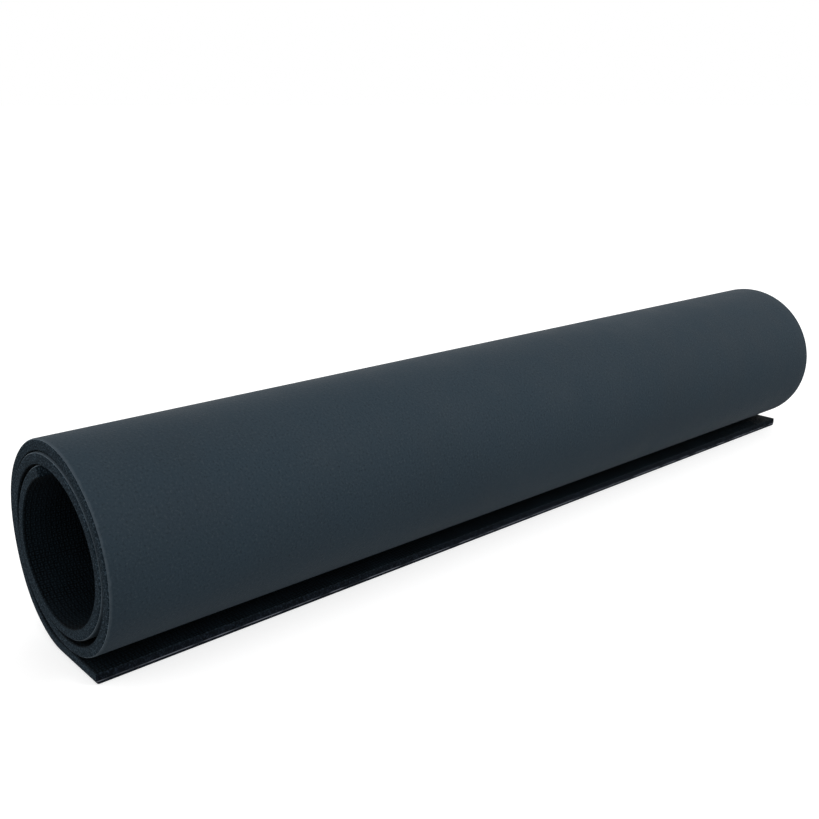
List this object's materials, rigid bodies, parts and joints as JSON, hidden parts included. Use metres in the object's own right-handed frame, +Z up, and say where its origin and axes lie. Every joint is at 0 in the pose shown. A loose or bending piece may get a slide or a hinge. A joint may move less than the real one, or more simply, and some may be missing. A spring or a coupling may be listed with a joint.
{
  "type": "rolled exercise mat",
  "caption": "Rubber-foam gym mat rolled into an open spiral tube, smooth dark facing outside, textured underside inside, with a short flap of its outer end flat on the floor.",
  "frame": {"origin": "centre of the roll's length and of its outermost turn, on the floor", "axes": "+X along the roll, +Y away from the flap, +Z up"},
  "size_m": [0.61, 0.1119, 0.1125],
  "materials": {
    "facing": "matte smooth facing with a very fine grain",
    "foam": "matte closed-cell foam, cut edges grainy, underside embossed with a fine grip pattern"
  },
  "bodies": {
    "flap": {"facing_flap": "facing", "foam_flap": "foam"},
    "strip_1": {"facing_strip_1": "facing", "foam_strip_1": "foam"},
    "strip_2": {"facing_strip_2": "facing", "foam_strip_2": "foam"},
    "strip_3": {"facing_strip_3": "facing", "foam_strip_3": "foam"},
    "strip_4": {"facing_strip_4": "facing", "foam_strip_4": "foam"},
    "strip_5": {"facing_strip_5": "facing", "foam_strip_5": "foam"},
    "coil": {"facing_coil": "facing", "foam_coil": "foam"}
  },
  "joints": [
    {"name": "unroll_1", "type": "hinge", "parent": "flap", "child": "strip_1", "pos_m": [0, 0.00819, 0], "axis": [-1, 0, 0], "range_deg": [0, 15.68]},
    {"name": "unroll_2", "type": "hinge", "parent": "strip_1", "child": "strip_2", "pos_m": [0, 0.03053, 0.00627], "axis": [-1, 0, 0], "range_deg": [0, 31.36]},
    {"name": "unroll_3", "type": "hinge", "parent": "strip_2", "child": "strip_3", "pos_m": [0, 0.04859, 0.02566], "axis": [-1, 0, 0], "range_deg": [0, 31.36]},
    {"name": "unroll_4", "type": "hinge", "parent": "strip_3", "child": "strip_4", "pos_m": [0, 0.0558, 0.06077], "axis": [-1, 0, 0], "range_deg": [0, 31.36]},
    {"name": "unroll_5", "type": "hinge", "parent": "strip_4", "child": "strip_5", "pos_m": [0, 0.04576, 0.08876], "axis": [-1, 0, 0], "range_deg": [0, 31.36]},
    {"name": "unroll_6", "type": "hinge", "parent": "strip_5", "child": "coil", "pos_m": [0, 0.02202, 0.10791], "axis": [-1, 0, 0], "range_deg": [0, 31.36]}
  ]
}
